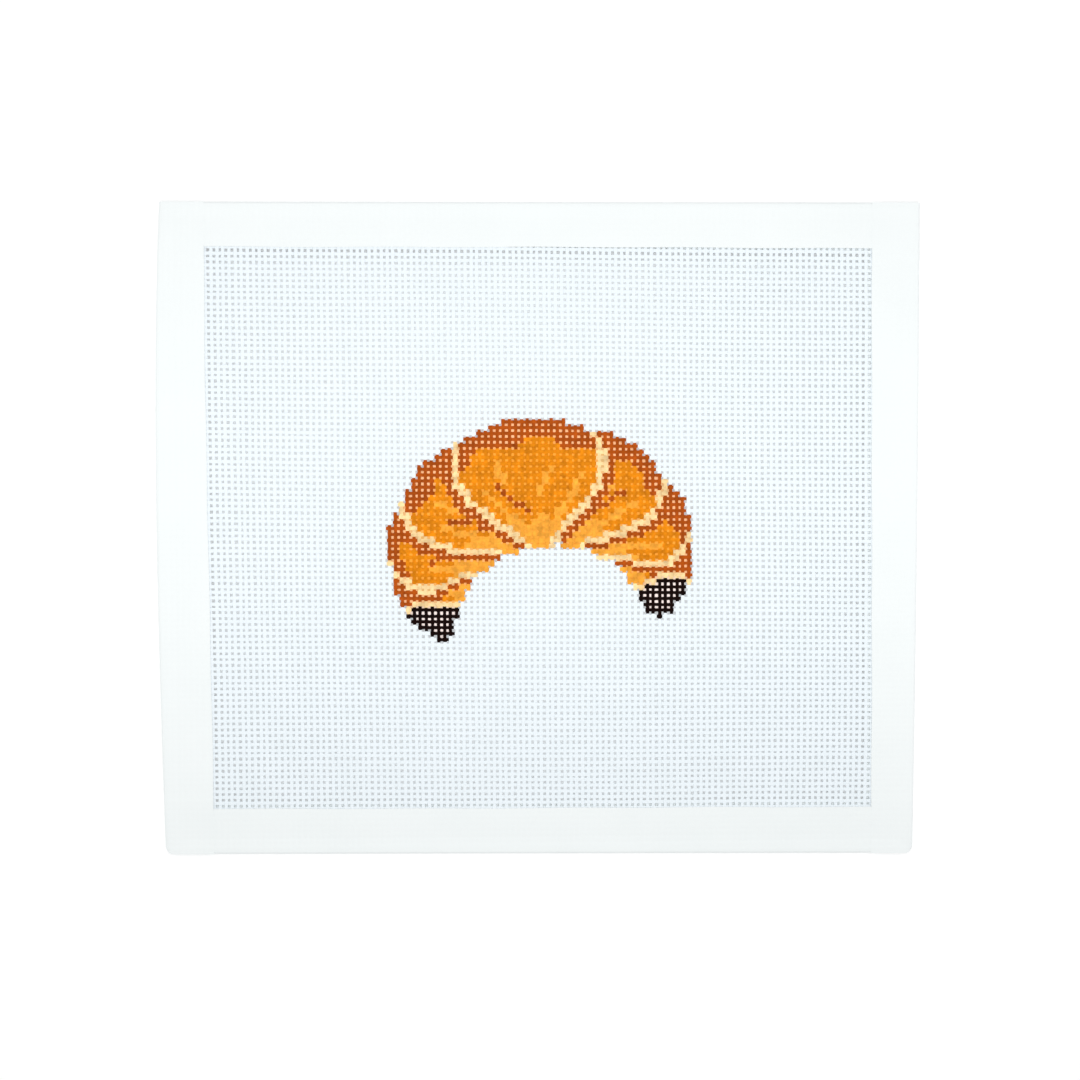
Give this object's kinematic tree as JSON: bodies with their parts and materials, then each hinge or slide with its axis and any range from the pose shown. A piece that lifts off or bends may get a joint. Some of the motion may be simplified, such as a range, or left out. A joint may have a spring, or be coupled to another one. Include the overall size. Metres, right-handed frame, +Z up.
{
  "type": "painted needlepoint canvas",
  "caption": "Stiff open-weave cotton canvas for needlepoint, painted with a crescent pastry, its raw edges bound in folded white tape.",
  "frame": {"origin": "on the table, under the middle of the panel", "axes": "+X to the right of the picture, +Y to its top, +Z up out of the painted side"},
  "size_m": [0.181, 0.1564, 0.0026],
  "materials": {
    "canvas": "starched white cotton mono canvas, eighteen threads to the inch, with a painted design",
    "tape": "smooth white paper tape"
  },
  "bodies": {
    "root": {"canvas": "canvas", "tape_top": "tape", "tape_bottom": "tape", "tape_left": "tape", "tape_right": "tape"}
  },
  "joints": []
}
